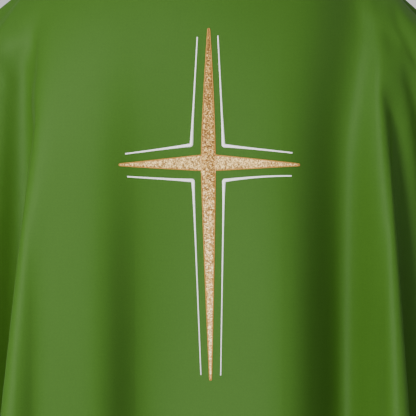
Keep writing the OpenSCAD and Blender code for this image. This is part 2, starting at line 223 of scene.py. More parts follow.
def cloth_material(name, tone=1.0):
    """Plain weave with slubs along both threads, slow patches and small flecks. tone dims its colour."""
    n = Nodes(name)
    threads = 1 / THREAD_PITCH
    warp = n.wave(n.uv(threads, 0), "X")
    weft = n.wave(n.uv(0, threads), "Y")
    checker = n.math("MULTIPLY", warp, weft)
    slub_warp = n.noise(n.uv(900, 25), 1.0, 2.0)
    slub_weft = n.noise(n.uv(22, 900), 1.0, 2.0)
    slubs = n.math("ADD", slub_warp, slub_weft)
    patches = n.noise(n.uv(9, 7), 1.0, 3.0, 0.6)
    flecks = n.noise(n.uv(380, 380), 1.0, 2.0)
    mixed = n.math("ADD", n.math("MULTIPLY", slubs, 0.20), n.math("MULTIPLY", patches, 0.12))
    mixed = n.math("ADD", mixed, n.math("MULTIPLY", flecks, 0.60))
    low = [c * tone for c in (0.0286, 0.0820, 0.0064)]
    high = [c * tone for c in (0.0357, 0.1010, 0.0085)]
    colour = n.ramp(mixed, [(0.38, low), (0.74, high)])
    roughness = n.spread(slubs, 0.70, 0.60)
    heights = n.math("ADD", n.math("MULTIPLY", checker, 0.6), n.math("MULTIPLY", slubs, 0.2))
    fine = n.bump(heights, 0.00018, 0.4)
    normal = n.bump(n.noise(n.uv(60, 45), 1.0, 3.0, 0.55), 0.0006, 0.3, fine)
    return n.finish(colour, roughness, normal, Sheen_Weight=0.057, Sheen_Roughness=0.42,
                    Sheen_Tint=(0.75, 0.95, 0.55, 1), Specular_IOR_Level=0.14)


def stitch_material(name, colours, pitch, length, metallic, rough, tone_and_glint_share, fade=None):
    """Embroidery thread: the thread runs along the first flat coordinate, one row every pitch metres.
    The argument after roughness is the share of single-stitch speckles in its colour; the rest is broader patches.
    In the gold threads the pale speckles are partly the thread's own tone and partly painted glints of metallic
    thread, and the patches are partly painted sheen."""
    n = Nodes(name)
    rows = n.wave(n.uv(0, 1 / pitch), "Y")
    cells = n.add("ShaderNodeTexVoronoi", {"Vector": n.uv(1 / length, 1 / pitch), "Scale": 1.0})
    grain = n.add("ShaderNodeSeparateColor", {"Color": cells.outputs["Color"]}).outputs["Red"]
    # broad patches that vary the thread's tone and, in the gold threads, are painted sheen
    tone_and_painted_sheen = n.noise(n.uv(1 / (4 * length), 1 / (6 * pitch)), 1.0, 3.0, 0.6)
    factor = n.math("ADD", n.math("MULTIPLY", grain, tone_and_glint_share), n.math("MULTIPLY", tone_and_painted_sheen, 1 - tone_and_glint_share))
    if fade is not None:
        factor = n.math("ADD", factor, fade(n))
    colour = n.ramp(factor, colours)
    heights = n.math("ADD", n.math("MULTIPLY", rows, 0.6), n.math("MULTIPLY", grain, 0.5))
    normal = n.bump(heights, 0.00025, 0.7)
    roughness = n.spread(grain, rough - 0.12, rough + 0.12)
    return n.finish(colour, roughness, normal, Metallic=metallic, Anisotropic=0.35, Specular_IOR_Level=0.25)


def paper_material(name, colour, scale):
    n = Nodes(name)
    fibres = n.noise(n.uv(scale, scale), 1.0, 4.0, 0.7)
    low = [c * 0.86 for c in colour]
    return n.finish(n.ramp(fibres, [(0.3, low), (0.7, colour)]), n.spread(fibres, 0.75, 0.9),
                    n.bump(fibres, 0.0003, 0.5), Sheen_Weight=0.05)


def bronze_fade(n):
    """Darker and browner towards the top of the upright."""
    return n.math("MULTIPLY", n.flat_y(), -1.0)


def crossing_fade(n):
    """Paler where the upright's edges cross the arms."""
    away = n.math("ABSOLUTE", n.math("SUBTRACT", n.flat_y(), BELOW / 1000))
    return n.math("MULTIPLY", n.math("LESS_THAN", away, ARM_HALF / 1000), 0.4)


def make_materials():
    # The brightest stops of the gold, pale and edge ramps are painted glints of metallic thread
    gold = [(0.18, (0.12, 0.048, 0.006)), (0.47, (0.31, 0.155, 0.027)), (0.69, (0.55, 0.32, 0.078)),
            (0.92, (0.88, 0.61, 0.25)), (1.0, (1.0, 0.82, 0.45))]
    pale = [(0.12, (0.19, 0.10, 0.024)), (0.5, (0.52, 0.315, 0.095)), (0.88, (1.0, 0.72, 0.31))]
    edge = [(0.2, (0.31, 0.13, 0.022)), (0.75, (0.68, 0.35, 0.09)), (0.95, (0.90, 0.62, 0.26))]
    silver = [(0.2, (0.84, 0.82, 0.93)), (0.5, (0.98, 0.96, 1.0)), (0.8, (1.0, 1.0, 1.0))]
    green = [(0.2, (0.036, 0.10, 0.013)), (0.8, (0.085, 0.20, 0.036))]
    # Each thread: its name, colours, pitch, stitch length, metallic, roughness, share of single-stitch speckles
    # (the thread's tone and, for gold, painted glints) and fade
    threads = {
        "thread": ("green_thread", green, 0.0006, 0.003, 0.0, 0.5, 0.3),
        "gold_upright": ("gold_stitches", gold, 0.0013, 0.0016, 0.2, 0.42, 0.92, bronze_fade),
        "gold_arms": ("pale_gold_stitches", pale, 0.0013, 0.0016, 0.2, 0.42, 0.96),
        "gold_edge": ("gold_satin", edge, 0.0005, 0.0015, 0.2, 0.42, 0.4),
        "gold_upright_edge": ("gold_upright_satin", edge, 0.0005, 0.0015, 0.2, 0.42, 0.4, crossing_fade),
        "silver": ("silver_satin", silver, 0.0005, 0.004, 0.0, 0.38, 0.35),
    }
    return {
        "cloth": cloth_material("green_cloth"),
        "facing": cloth_material("green_cloth_inner", 0.86),
        **{slot: stitch_material(*values) for slot, values in threads.items()},
        "backing": paper_material("non_woven", (0.86, 0.86, 0.82), 900),
        "label": paper_material("woven_tape", (0.84, 0.84, 0.80), 1600),
    }


# ---- the flat cut
def seam_drop(u):
    """How far the shoulder seam lies below the top of the pattern."""
    return SEAM_SLOPE * (np.sqrt(u * u + SEAM_ROUND * SEAM_ROUND) - SEAM_ROUND)


def hem_at(u):
    """Length of cloth from the shoulder seam's level down to the hem."""
    tip = seam_drop(HALF_WIDTH) + WRIST_EDGE
    share = np.clip(1 - np.abs(u / HALF_WIDTH) ** HEM_ACROSS, 0, 1) ** (1 / HEM_DOWN)
    return tip + (CUT_LENGTH - tip) * share - seam_drop(u)


def neck_at(u, side):
    """Length of cloth from the shoulder seam's level down to the neckline."""
    share = np.clip(1 - np.abs(u / NECK_HALF) ** NECK_ACROSS, 0, 1)
    return NECK_DEPTH[side] * share ** NECK_DOWN


def smooth_step(a):
    a = np.clip(a, 0, 1)
    return a * a * (3 - 2 * a)


def unit(vectors):
    return vectors / np.maximum(np.linalg.norm(vectors, axis=-1), 1e-9)[..., None]


def lengths(points):
    """How far along a line of points each of them lies."""
    return np.concatenate([[0], np.cumsum(np.linalg.norm(np.diff(points, axis=0), axis=1))])


# ---- simulation
GRID = 0.016  # spacing of the simulated cloth's points
FRAMES = 70
# Where the drape starts: each side's angle at the seam, and the length over which it turns down
TENT = {FRONT: (math.radians(80), 0.122), BACK: (math.radians(76), 0.126)}
TENT_POWER = 1.2
WING_BOW = 0.35
# The front's folds: middle, its shift at the top, reach and roundness to the left and to the right, depth at
# the top and at the bottom, and where down the cloth the depth changes
FOLDS = [
    (0.207, 0.040, 0.038, 2.1, 0.030, 1.8, 0.045, 0.097, 0.08, 0.70),
    (-0.086, 0.0, 0.034, 3.2, 0.110, 2.0, 0.0015, 0.056, 0.20, 0.80),
    (-0.300, 0.0, 0.070, 1.7, 0.060, 1.7, 0.040, 0.000, 0.10, 0.40),
]


def tent_curve(side):
    """The cloth's section before it is draped: it leaves the seam at an angle and curves down to hang straight."""
    w = np.linspace(0, 1.4, 1401)
    angle, reach = TENT[side]
    slope = angle * np.exp(-(w / reach) ** TENT_POWER)
    step = w[1] - w[0]

    def summed(rate):
        return np.concatenate([[0], np.cumsum((rate[1:] + rate[:-1]) / 2 * step)])

    return w, summed(np.sin(slope)), summed(np.cos(slope))


CURVES = {side: tent_curve(side) for side in (FRONT, BACK)}


def fold_depth(u, w):
    """How far the front's folds go in."""
    total = 0
    for middle, shift, left, left_round, right, right_round, shallow, deep, start, end in FOLDS:
        off = u - middle - shift * (1 - smooth_step(w / 0.4))
        power = np.where(off < 0, left_round, right_round)
        across = np.exp(-(np.abs(off) / np.where(off < 0, left, right)) ** power / power)
        down = shallow * smooth_step(w / start) + (deep - shallow) * smooth_step((w - start) / (end - start))
        total = total + across * down
    return total


def tent(u, w, side):
    """Where a point of the cloth starts."""
    along, curve_out, curve_down = CURVES[side]
    out = np.interp(w, along, curve_out) * (1 - WING_BOW * (u / HALF_WIDTH) ** 2)
    if side == FRONT:
        out = out - fold_depth(u, w)
    down = np.interp(w, along, curve_down)
    return np.stack([u, side * out, seam_drop(NECK_HALF) - seam_drop(u) - down], -1)


def new_object(name, verts, faces):
    mesh = bpy.data.meshes.new(name)
    mesh.from_pydata(np.asarray(verts).tolist(), [], [list(map(int, f)) for f in faces])
    mesh.update()
    obj = bpy.data.objects.new(name, mesh)
    bpy.context.collection.objects.link(obj)
    return obj


def outward_normals(obj):
    bm = bmesh.new()
    bm.from_mesh(obj.data)
    bmesh.ops.recalc_face_normals(bm, faces=bm.faces)
    bm.to_mesh(obj.data)
    bm.free()


def tube(name, rings, tips):
    """A closed solid through rings of points, with a point at each end."""
    count, size = len(rings), len(rings[0])
    verts = np.concatenate([*rings, tips])
    faces = []
    for k in range(size):
        k2 = (k + 1) % size
        last = (count - 1) * size
        faces += [[r + k, r + size + k, r + size + k2, r + k2] for r in range(0, last, size)]
        faces += [[last + size, k, k2], [last + size + 1, last + k2, last + k]]
    obj = new_object(name, verts, faces)
    outward_normals(obj)
    return obj


# The wearer's torso: height, half width, half depth and shift to the back of each section
TORSO = [
    (0.108, 0.052, 0.050, 0), (0.038, 0.056, 0.052, 0), (0.003, 0.070, 0.058, 0),
    (-0.017, 0.095, 0.068, 0), (-0.037, 0.130, 0.080, 0), (-0.057, 0.163, 0.088, 0),
    (-0.077, 0.186, 0.094, 0), (-0.102, 0.198, 0.100, -0.004), (-0.142, 0.200, 0.108, -0.008),
    (-0.212, 0.190, 0.118, -0.012), (-0.312, 0.172, 0.116, -0.012), (-0.432, 0.152, 0.104, -0.006),
    (-0.562, 0.165, 0.112, 0), (-0.712, 0.175, 0.118, 0), (-0.912, 0.165, 0.112, 0),
    (-1.412, 0.140, 0.100, 0),
]
TORSO_POWER = 2 / 2.4
# Each arm: place and radius at the shoulder, the elbow and the hand
ARM_POINTS = [(0.170, 0, -0.097, 0.055), (0.365, -0.006, -0.245, 0.046), (0.560, -0.020, -0.392, 0.036)]


def torso():
    a = np.linspace(0, 2 * math.pi, 64, endpoint=False)
    c, s = np.cos(a), np.sin(a)
    x, y = np.sign(c) * np.abs(c) ** TORSO_POWER, np.sign(s) * np.abs(s) ** TORSO_POWER
    rings = [np.stack([wide * x, shift + deep * y, np.full_like(x, z)], 1) for z, wide, deep, shift in TORSO]
    return tube("torso", rings, np.array([[0, 0, TORSO[0][0]], [0, 0, TORSO[-1][0]]]))


def arm(hand):
    points = np.array([(hand * x, y, z, r) for x, y, z, r in ARM_POINTS])
    steps = np.linspace(0, 2, 17)
    path = np.stack([np.interp(steps, [0, 1, 2], points[:, k]) for k in range(4)], 1)
    ends = np.radians([80, 60, 40, 20])
    turn = np.linspace(0, 2 * math.pi, 24, endpoint=False)[:, None]
    along = unit(np.gradient(path[:, :3], axis=0))

    def ring(k, back, shrink):
        side = unit(np.cross(along[k], [0, 1, 0]))
        centre = path[k, :3] + along[k] * path[k, 3] * back
        return centre + path[k, 3] * shrink * (np.cos(turn) * side + np.sin(turn) * np.cross(along[k], side))

    rings = [ring(0, -math.sin(e), math.cos(e)) for e in ends]
    rings += [ring(k, 0, 1) for k in range(len(path))]
    rings += [ring(-1, math.sin(e), math.cos(e)) for e in ends[::-1]]
    tips = np.array([path[0, :3] - along[0] * path[0, 3], path[-1, :3] + along[-1] * path[-1, 3]])
    return tube(f"arm_{hand}", rings, tips)


def cloth_grid():
    """Points and faces of both panels, joined along the shoulder seams. Point (side, column, row) has a number.
    The grid reaches a little past the cut at the neckline and the hem."""
    columns = int(round(HALF_WIDTH / GRID))
    rows = int(math.ceil(CUT_LENGTH / GRID)) + 2
    number, places, faces = {}, [], []
    for side in (FRONT, BACK):
        for i in range(-columns, columns + 1):
            u = i * GRID
            for j in range(rows):
                w = j * GRID
                in_neck = abs(u) < NECK_HALF - 0.3 * GRID and w < neck_at(u, side) - 0.6 * GRID
                if in_neck or (j > 0 and w > hem_at(u) + 1.1 * GRID):
                    continue
                if j == 0 and (-side, i, 0) in number:
                    number[side, i, 0] = number[-side, i, 0]
                    continue
                number[side, i, j] = len(places)
                places.append((u, w, side))
        for i in range(-columns, columns):
            for j in range(rows):
                quad = [number.get((side, *c)) for c in ((i, j), (i + 1, j), (i + 1, j + 1), (i, j + 1))]
                if None not in quad:
                    faces.append(quad if side == BACK else quad[::-1])
    places = np.array(places)
    points = np.where((places[:, 2] == FRONT)[:, None], tent(places[:, 0], places[:, 1], FRONT),
                      tent(places[:, 0], places[:, 1], BACK))
    return columns, rows, number, points, faces


# The middle of the front and the upper back keep the shape they start with. Each held strip: its half width and
# the fade inside it, the height at which the hold starts and the rise to the full hold
HELD = {FRONT: (0.280, 0.05, -1.35, 0.15), BACK: (0.13, 0.05, -0.50, 0.20)}
CLOTH_SETTINGS = dict(
    quality=6, mass=0.08, air_damping=2, tension_stiffness=25, compression_stiffness=25, shear_stiffness=10,
    bending_stiffness=0.5, tension_damping=5, compression_damping=5, shear_damping=5, bending_damping=0.5,
    vertex_group_mass="held", pin_stiffness=1,
)


def held_weights(points, ring):
    """How firmly each point is held. The ring round the neckline is held fully."""
    weights = np.zeros(len(points))
    for side, (half, fade, low, rise) in HELD.items():
        across = smooth_step((half - np.abs(points[:, 0])) / fade)
        down = smooth_step((points[:, 2] - low) / rise)
        on_side = side * points[:, 1] > 0.01
        weights = np.where(on_side, across * down, weights)
    weights[ring] = 1
    return weights


def simulate(points, faces):
    """Drapes the cloth over the wearer and returns its points."""
    obj = new_object("cloth", points, faces)
    bm = bmesh.new()
    bm.from_mesh(obj.data)
    ring = [v.index for v in bm.verts if v.is_boundary and abs(v.co.x) < NECK_HALF + 0.02 and v.co.z > -0.15]
    bm.free()
    group = obj.vertex_groups.new(name="held")
    for k, weight in enumerate(held_weights(points, ring)):
        if weight > 0.001:
            group.add([k], float(weight), "REPLACE")
    wearer = [torso(), arm(-1), arm(1)]
    for part in wearer:
        part.modifiers.new("collide", "COLLISION")
        part.collision.thickness_outer = 0.004
        part.collision.cloth_friction = 30
        part.collision.damping = 0.3
    modifier = obj.modifiers.new("drape", "CLOTH")
    for key, value in CLOTH_SETTINGS.items():
        setattr(modifier.settings, key, value)
    modifier.collision_settings.distance_min = 0.005
    modifier.collision_settings.collision_quality = 3
    modifier.collision_settings.use_self_collision = False
    modifier.point_cache.frame_start = 1
    modifier.point_cache.frame_end = FRAMES
    scene = bpy.context.scene
    scene.frame_start, scene.frame_end = 1, FRAMES
    for f in range(1, FRAMES + 1):
        scene.frame_set(f)
    evaluated = obj.evaluated_get(bpy.context.evaluated_depsgraph_get())
    final = np.empty(len(points) * 3)
    evaluated.data.vertices.foreach_get("co", final)
    final = final.reshape(-1, 3)
    for part in (obj, *wearer):
        bpy.data.objects.remove(part, do_unlink=True)
    scene.frame_set(1)
    return final


def grid_array(side, columns, rows, number, points):
    """The side's points in columns and rows. Places outside the cut continue its edge in a straight line."""
    grid = np.full((2 * columns + 1, rows, 3), np.nan)
    for (s, i, j), k in number.items():
        if s == side:
            grid[i + columns, j] = points[k]
    for column in grid:
        known = np.flatnonzero(~np.isnan(column[:, 0]))
        first, last = known[0], known[-1]
        if last == first:
            column[last + 1] = column[last] + (0, 0, -GRID)
            last += 1
        for j in range(first - 1, -1, -1):
            column[j] = 2 * column[j + 1] - column[j + 2]
        for j in range(last + 1, rows):
            column[j] = 2 * column[j - 1] - column[j - 2]
    return grid


SMOOTH_PASSES, WRIST_PASSES = 2, 10
WRIST_START, WRIST_FADE = 0.60, 0.08  # across from the middle, where the extra passes set in


def around(grid):
    """The mean of the four neighbours of each inner point."""
    return (grid[:-2, 1:-1] + grid[2:, 1:-1] + grid[1:-1, :-2] + grid[1:-1, 2:]) / 4


def smoothed(grid):
    """Evens out the simulation's small unevenness, more so near the wrists. The seam row stays."""
    for _ in range(SMOOTH_PASSES):
        grid[1:-1, 1:-1] = 0.5 * grid[1:-1, 1:-1] + 0.5 * around(grid)
    across = np.abs(np.arange(len(grid)) - len(grid) // 2) * GRID
    outer = smooth_step((across - WRIST_START) / WRIST_FADE)[:, None, None]
    for _ in range(WRIST_PASSES):
        near = grid.copy()
        near[1:-1, 1:-1] = around(grid)
        near[[0, -1]] = 2 * grid[[1, -2]] - grid[[2, -3]]
        grid = grid + 0.5 * outer * (near - grid)
    return grid


REACH, EASE = 0.150, 0.026  # free distance before and behind the wearer's middle, and what may be added


def eased(grid):
    """Presses the outermost folds in, so that the cloth stays near the CAD box."""
    size = np.abs(grid[..., 1])
    over = np.maximum(size - REACH, 0)
    grid[..., 1] = np.sign(grid[..., 1]) * (np.minimum(size, REACH) + EASE * (1 - np.exp(-over / EASE)))
    return grid


def drape():
    """Each side's points in columns and rows."""
    columns, rows, number, points, faces = cloth_grid()
    points = simulate(points, faces)
    return {side: eased(smoothed(grid_array(side, columns, rows, number, points))) for side in (FRONT, BACK)}


# ---- the draped surface
def cubic(t):
    """Weights of four neighbours for a smooth curve through the middle two."""
    t2, t3 = t * t, t * t * t
    return (-t + 2 * t2 - t3) / 2, (2 - 5 * t2 + 3 * t3) / 2, (t + 4 * t2 - 3 * t3) / 2, (t3 - t2) / 2


def surface(side, u, w):
    """Points of the draped cloth at flat places u, w."""
    grid = DRAPE[side]
    a = np.clip(np.asarray(u) / GRID + (grid.shape[0] - 1) / 2, 0, grid.shape[0] - 1.001)
    b = np.clip(np.asarray(w) / GRID, 0, grid.shape[1] - 1.001)
    i, j = np.floor(a).astype(int), np.floor(b).astype(int)
    across, down = cubic(a - i), cubic(b - j)
    total = 0
    for m in range(4):
        column = np.clip(i + m - 1, 0, grid.shape[0] - 1)
        for n in range(4):
            row = np.clip(j + n - 1, 0, grid.shape[1] - 1)
            total = total + grid[column, row] * (across[m] * down[n])[..., None]
    return total


def surface_normal(side, u, w):
    step = 0.002
    along_u = surface(side, u + step, w) - surface(side, u - step, w)
    along_w = surface(side, u, w + step) - surface(side, u, np.maximum(w - step, 0))
    return unit(np.cross(along_w, along_u) * side * -1)


def off_cloth(side, u, w, distance):
    """Points at a distance from the middle of the cloth: outwards is positive."""
    return surface(side, u, w) + surface_normal(side, u, w) * np.asarray(distance)[..., None]


# ---- mesh building
def quads(index):
    """The faces of a layer, from its point numbers in rows and columns."""
    return np.stack([index[:-1, :-1], index[1:, :-1], index[1:, 1:], index[:-1, 1:]], -1).reshape(-1, 4)


def wall(a, b):
    """The faces between two lines of point numbers."""
    return np.stack([a[:-1], a[1:], b[1:], b[:-1]], -1)


def shell(name, outer, inner, flat):
    """A thin closed solid between two layers of points in rows and columns. flat holds its flat coordinates."""
    verts = np.concatenate([outer.reshape(-1, 3), inner.reshape(-1, 3)])
    index = np.arange(outer[..., 0].size).reshape(outer.shape[:2])
    under = index + index.size
    faces = [quads(index), quads(under)[:, ::-1], wall(index[:, 0], under[:, 0]), wall(under[:, -1], index[:, -1]),
             wall(under[0], index[0]), wall(index[-1], under[-1])]
    obj = new_object(name, verts, np.concatenate(faces))
    outward_normals(obj)
    add_flat(obj, np.concatenate([flat.reshape(-1, 2)] * 2))
    return obj


def add_flat(obj, coords):
    """Stores each point's flat coordinates, in metres, for the materials."""
    mesh = obj.data
    corners = np.empty(len(mesh.loops), dtype=int)
    mesh.loops.foreach_get("vertex_index", corners)
    mesh.uv_layers.new(name="flat").data.foreach_set("uv", coords[corners].astype(np.float32).ravel())
    mesh.polygons.foreach_set("use_smooth", np.ones(len(mesh.polygons), dtype=bool))


def finish_piece(obj, slot, *nodes):
    obj.data.materials.append(MATERIALS[slot])
    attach(obj, "root")
    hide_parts(*nodes)
    return obj


# ---- panels
PANEL_COLUMNS, PANEL_ROWS = 300, 130
# Closer rows: their distances from the upper edge and from the hem, drawn together in a short column
EDGE_ROWS = np.array([0, 0.0010, 0.0025, 0.0050, 0.0090])
HEM_ROWS = np.array([0, 0.0008, 0.0030, 0.0080, 0.0125, 0.0140, 0.0155, 0.0190])
SHORT_COLUMN = 0.08
# Closer columns: their distances beyond the neck points, and the stretch where they take over
NECK_COLUMNS = np.array([0.0012, 0, -0.0005, -0.0012, -0.0022, -0.0035, -0.0052, -0.0075])
NECK_STRETCH = (-0.008, 0.0016)
STITCH_LINE = 0.014  # the hem's stitches above its edge


def panel_places(side):
    u = HALF_WIDTH * 0.9995 * np.sin(np.linspace(-math.pi / 2, math.pi / 2, PANEL_COLUMNS + 1))
    beyond = np.abs(u) - NECK_HALF
    u = u[(beyond < NECK_STRETCH[0]) | (beyond > NECK_STRETCH[1])]
    near_neck = NECK_HALF + NECK_COLUMNS
    u = np.sort(np.concatenate([u, near_neck, -near_neck]))
    top, bottom = neck_at(u, side), hem_at(u)
    scale = np.minimum(1, (bottom - top) / SHORT_COLUMN)
    middle = np.linspace(0, 1, PANEL_ROWS + 1 - len(EDGE_ROWS) - len(HEM_ROWS) + 2)[1:-1]
    start, end = top + EDGE_ROWS[-1] * scale, bottom - HEM_ROWS[-1] * scale
    rows = [top + r * scale for r in EDGE_ROWS]
    rows += [start + (end - start) * m for m in middle]
    rows += [bottom - r * scale for r in HEM_ROWS[::-1]]
    w = np.stack(rows)
    return np.broadcast_to(u, w.shape), w


def relief(u, w):
    """Small shapes on the cloth's face: the seam's groove, the hem's doubled edge and its stitch line."""
    seam = np.where(np.abs(u) > NECK_HALF, -0.0012 * np.exp(-(w / 0.003) ** 2), 0)
    up = hem_at(u) - w
    hem = 0.0004 * smooth_step((HEM_WIDTH - up) / 0.003) - 0.0005 * np.exp(-((up - STITCH_LINE) / 0.0014) ** 2)
    pucker = 0.0005 * np.sin(u / 0.0075 + 2 * np.sin(u / 0.031)) * np.exp(-((up - 0.010) / 0.009) ** 2)
    return seam + hem + pucker


def panel(word):
    side = SIDES[word]
    u, w = panel_places(side)
    face = relief(u, w)
    outer = off_cloth(side, u, w, face + CLOTH / 2)
    inner = off_cloth(side, u, w, face - CLOTH / 2)
    obj = shell(f"{word}_cloth", outer, inner, np.stack([u, -w - seam_drop(u)], -1))
    return finish_piece(obj, "cloth", f"{word}_panel")


# ---- layers and stitches on the panels
def inside(layer=0):
    """Distances of a layer sewn to the cloth's inner face, or of the next one on top of it."""
    high = -CLOTH / 2 - LAYER_GAP - layer * (LAYER + LAYER_GAP)
    return high - LAYER, high


def inner_layer(name, side, u, w):
    """A layer sewn to the cloth's inner face."""
    base, top = (off_cloth(side, u, w, np.full(u.shape, distance)) for distance in inside())
    return shell(name, top, base, np.stack([u, -w - seam_drop(u)], -1))


def rows_between(u, top, bottom, count):
    share = np.linspace(0, 1, count)[:, None]
    return np.broadcast_to(u, (count, len(u))), top + (bottom - top) * share


def hem_turnup(word):
    side = SIDES[word]
    u = HALF_WIDTH * 0.995 * np.sin(np.linspace(-1.52, 1.52, 261))
    width = np.minimum(HEM_WIDTH, hem_at(u) * 0.4)
    u, w = rows_between(u, hem_at(u) - width, hem_at(u) - 0.0006, 5)
    return finish_piece(inner_layer(f"{word}_hem_band", side, u, w), "facing", f"{word}_hem_turnup")


def neck_facing(word):
    side = SIDES[word]
    u = (NECK_HALF + 0.034) * np.sin(np.linspace(-1.5, 1.5, 61))
    top = neck_at(u, side) + 0.0025
    u, w = rows_between(u, top, top + FACING, 14)
    return finish_piece(inner_layer(f"{word}_neck_band", side, u, w), "facing", f"neck_facing_{word}")


def joined(objs, name):
    """Several meshes as one object."""
    bpy.ops.object.select_all(action="DESELECT")
    for o in objs:
        o.select_set(True)
    bpy.context.view_layer.objects.active = objs[0]
    bpy.ops.object.join()
    objs[0].name = name
    return objs[0]


def seam_allowance(word):
    """The pressed-open allowances of one shoulder seam, one on each panel."""
    hand = HANDS[word]
    parts = []
    for side in (FRONT, BACK):
        u = hand * np.linspace(NECK_HALF + 0.045, HALF_WIDTH - 0.006, 140)
        edge = ALLOWANCE + 0.0004 * np.sin(u / 0.004)
        u, w = rows_between(u, 0.0016, np.minimum(edge, hem_at(u) * 0.8), 4)
        parts.append(inner_layer("allowance", side, u, w))
    return finish_piece(joined(parts, f"{word}_seam_band"), "facing", f"shoulder_seam_allowance_{word}")


# A stitch is a flattened capsule: each ring's place along it and its size
CAPSULE_RINGS = ((-1, 0.25), (-0.8, 0.75), (-0.4, 1), (0.4, 1), (0.8, 0.75), (1, 0.25))
CAPSULE_SIDES = 6
STITCH_PITCH, STITCH_WIDTH = 0.003, 0.0007


def stitches(name, centres, along, normal, length):
    """Small rounded stitches, one at each centre."""
    side = np.cross(along, normal)
    angle = np.linspace(0, 2 * math.pi, CAPSULE_SIDES, endpoint=False)
    rings = []
    for place, size in CAPSULE_RINGS:
        for a in angle:
            rings.append(centres + along * place * length / 2
                         + (side * math.cos(a) + normal * math.sin(a) * 0.7) * size * STITCH_WIDTH / 2)
    verts = np.stack(rings, 1)
    count, per = verts.shape[:2]
    k = np.arange(CAPSULE_SIDES)
    k2 = (k + 1) % CAPSULE_SIDES
    one = [[r * CAPSULE_SIDES + a, r * CAPSULE_SIDES + b, (r + 1) * CAPSULE_SIDES + b, (r + 1) * CAPSULE_SIDES + a]
           for r in range(len(CAPSULE_RINGS) - 1) for a, b in zip(k, k2)]
    caps = [list(k[::-1]), list(k + per - CAPSULE_SIDES)]
    faces = [[v + n * per for v in f] for n in range(count) for f in (*one, *caps)]
    obj = new_object(name, verts.reshape(-1, 3), faces)
    outward_normals(obj)
    place = np.repeat(np.arange(count), per) * length
    flat = np.stack([place + np.tile(np.repeat([r[0] for r in CAPSULE_RINGS], CAPSULE_SIDES), count) * length / 2,
                     np.tile(np.tile(angle, len(CAPSULE_RINGS)), count) * STITCH_WIDTH], -1)
    add_flat(obj, flat)
    return obj


def walk(points):
    """Places from 0 to 1 along a line of points, one for each stitch."""
    length = lengths(points)
    count = int(length[-1] / STITCH_PITCH)
    return np.interp((np.arange(count) + 0.5) * STITCH_PITCH, length, np.linspace(0, 1, len(points)))


def hem_line(share):
    """Flat places along the hem's stitch line, from 0 to 1."""
    u = HALF_WIDTH * 0.995 * np.sin((share * 2 - 1) * 1.5)
    return u, hem_at(u) - np.minimum(STITCH_LINE, hem_at(u) * 0.35)


def hem_row(name, side, height):
    """A row of stitches along the hem, at a distance from the middle of the cloth."""
    place = walk(surface(side, *hem_line(np.linspace(0, 1, 4000))))
    after, before = (surface(side, *hem_line(np.clip(place + step, 0, 1))) for step in (2e-4, -2e-4))
    normal = surface_normal(side, *hem_line(place))
    centres = surface(side, *hem_line(place)) + normal * height
    return stitches(name, centres, unit(after - before), normal, STITCH_PITCH * 0.82)


def hem_stitching(word):
    side = SIDES[word]
    rows = [hem_row("outer", side, CLOTH / 2 + 0.0001), hem_row("inner", side, inside()[0] - 0.0001)]
    return finish_piece(joined(rows, f"{word}_hem_stitches"), "thread", f"{word}_hem_stitching")


# ---- collar
RING = 288  # points round the neckline
RING_PASSES, LEVEL_PASSES = 10, 420  # evening of the neckline, and of the collar's upper edge
COLLAR_LEAN = math.radians(12)


def evened(ring, passes):
    """A closed line of points, each drawn towards its neighbours."""
    for _ in range(passes):
        ring = (np.roll(ring, 1, 0) + 2 * ring + np.roll(ring, -1, 0)) / 4
    return ring


def neck_ring():
    """The neckline as a closed line, counter-clockwise from the middle of the front, and its outward direction."""
    angle = np.linspace(0, 2 * math.pi, RING, endpoint=False)
    u = NECK_HALF * np.sin(angle)
    front = surface(FRONT, u, neck_at(u, FRONT))
    back = surface(BACK, u, neck_at(u, BACK))
    ring = evened(np.where((np.cos(angle) > 0)[:, None], front, back), RING_PASSES)
    along = np.roll(ring, -1, 0) - np.roll(ring, 1, 0)
    out = np.stack([along[:, 1], -along[:, 0], np.zeros(RING)], -1)
    return angle, ring, unit(out)


def collar_shape(angle, across, up):
    """Bends a section point of the collar a little, as soft cloth does."""
    wobble = 0.0012 * np.sin(3 * angle + 0.6) + 0.0009 * np.sin(7 * angle + 2.1) + 0.0005 * np.sin(17 * angle)
    lift = 1 + 0.05 * np.sin(2 * angle + 1.1) + 0.03 * np.sin(5 * angle + 0.3)
    crease = 0.0005 * np.sin(31 * angle + up * 160) + 0.0004 * np.sin(47 * angle - up * 110)
    share = np.clip(up / COLLAR_HEIGHT, 0, 1)
    return across + wobble * share + crease * share * (1.2 - share) * np.sign(across), up * lift


def swept_ring(name, section, slot, node):
    """A closed section carried round the neckline, more level towards its top."""
    angle, ring, out = neck_ring()
    level = evened(ring, LEVEL_PASSES)
    lean_out, lean_up = math.sin(COLLAR_LEAN), math.cos(COLLAR_LEAN)
    layers = []
    for across, up in section:
        a, b = collar_shape(angle, across, up)
        share = smooth_step(up / COLLAR_HEIGHT)
        layers.append(ring * (1 - share) + level * share + out * (a * lean_up - b * lean_out)[:, None]
                      + np.array([0, 0, 1]) * (b * lean_up + a * lean_out)[:, None])
    verts = np.stack(layers, 1)
    size = len(section)
    k, m = np.arange(RING)[:, None], np.arange(size)[None]
    k2, m2 = (k + 1) % RING, (m + 1) % size
    faces = np.stack([k * size + m, k * size + m2, k2 * size + m2, k2 * size + m], -1).reshape(-1, 4)
    obj = new_object(name, verts.reshape(-1, 3), faces)
    outward_normals(obj)
    flat = np.stack(np.broadcast_arrays(np.linspace(0, 0.6, RING)[:, None], lengths(section)[None]), -1)
    add_flat(obj, flat.reshape(-1, 2))
    return finish_piece(obj, slot, node)


